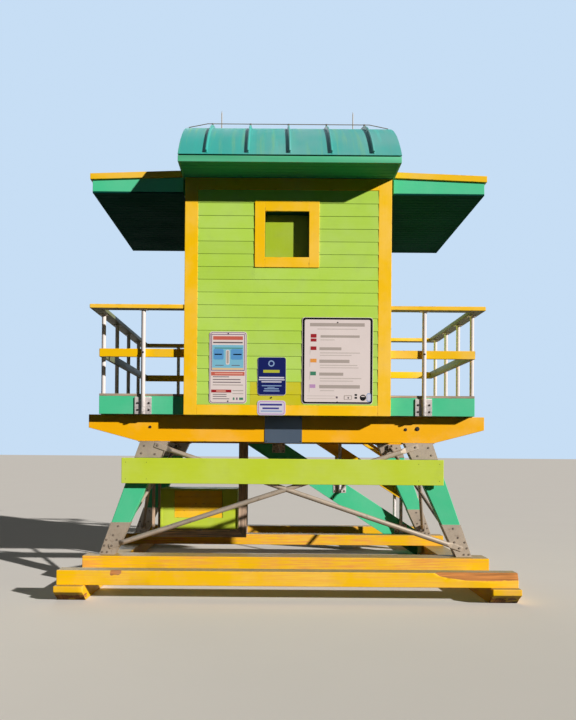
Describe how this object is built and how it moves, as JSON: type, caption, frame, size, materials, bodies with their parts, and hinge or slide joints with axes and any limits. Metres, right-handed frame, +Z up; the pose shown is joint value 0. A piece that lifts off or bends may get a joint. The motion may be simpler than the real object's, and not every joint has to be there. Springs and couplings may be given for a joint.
{
  "type": "beach lifeguard tower",
  "caption": "Painted timber lifeguard hut with a barrel roof and wing roofs on a railed deck, raked legs, braced skid base and stair.",
  "frame": {"origin": "middle of the skid's footprint, on the ground", "axes": "+Z up, -Y towards the land side, +X to the right seen from the land side"},
  "size_m": [4.88, 4.88, 6.185],
  "materials": {
    "yellow_wood": "weathered yellow paint on sawn timber",
    "lime_wood": "lime green paint on lap siding",
    "board_wood": "yellow-green paint on smooth boards",
    "green_wood": "sea green paint on timber",
    "soffit_wood": "dark green paint on soffit boards",
    "bare_wood": "bare weathered timber",
    "roof_metal": "faded teal coat on standing-seam sheet",
    "galvanised": "dull galvanised steel with salt stains",
    "white_metal": "off-white paint on aluminium tube",
    "slate_metal": "dark slate paint on plate"
  },
  "bodies": {
    "root": {"runner_left": "yellow_wood", "runner_right": "yellow_wood", "cross_beams": "yellow_wood", "legs": "green_wood", "leg_plates": "galvanised", "front_brace": "galvanised", "side_brace_left": "galvanised", "side_brace_right": "galvanised", "name_board": "board_wood", "front_beam": "yellow_wood", "rear_beam": "yellow_wood", "number_plate": "slate_metal", "joists": "bare_wood", "deck_rim": "green_wood", "deck_left": "bare_wood", "deck_right": "bare_wood", "hut_floor": "bare_wood", "landing_boards": "bare_wood", "front_wall": "lime_wood", "right_wall": "lime_wood", "left_wall_front": "lime_wood", "left_wall_rear": "lime_wood", "left_wall_over_door": "lime_wood", "rear_wall": "lime_wood", "corner_boards": "yellow_wood", "band_boards": "yellow_wood", "window_frame": "yellow_wood", "window_shutter": "lime_wood", "door_casing": "yellow_wood", "lookout_casing": "yellow_wood", "soffit": "soffit_wood", "eave_fascia": "green_wood", "roof_ribs": "bare_wood", "gables": "green_wood", "roof_vault": "roof_metal", "roof_seams": "roof_metal", "roof_rods": "galvanised", "wing_left": "green_wood", "wing_right": "green_wood", "wing_cap_left": "yellow_wood", "wing_cap_right": "yellow_wood", "rail_cap_left": "yellow_wood", "rail_cap_right": "yellow_wood", "mid_rails_left": "yellow_wood", "mid_rails_right": "yellow_wood", "posts_left": "white_metal", "posts_right": "white_metal", "stringers": "green_wood", "treads": "bare_wood", "stair_posts": "white_metal", "stair_rails": "yellow_wood", "locker_frame": "bare_wood", "locker": "board_wood", "locker_panel": "yellow_wood"}
  },
  "joints": []
}
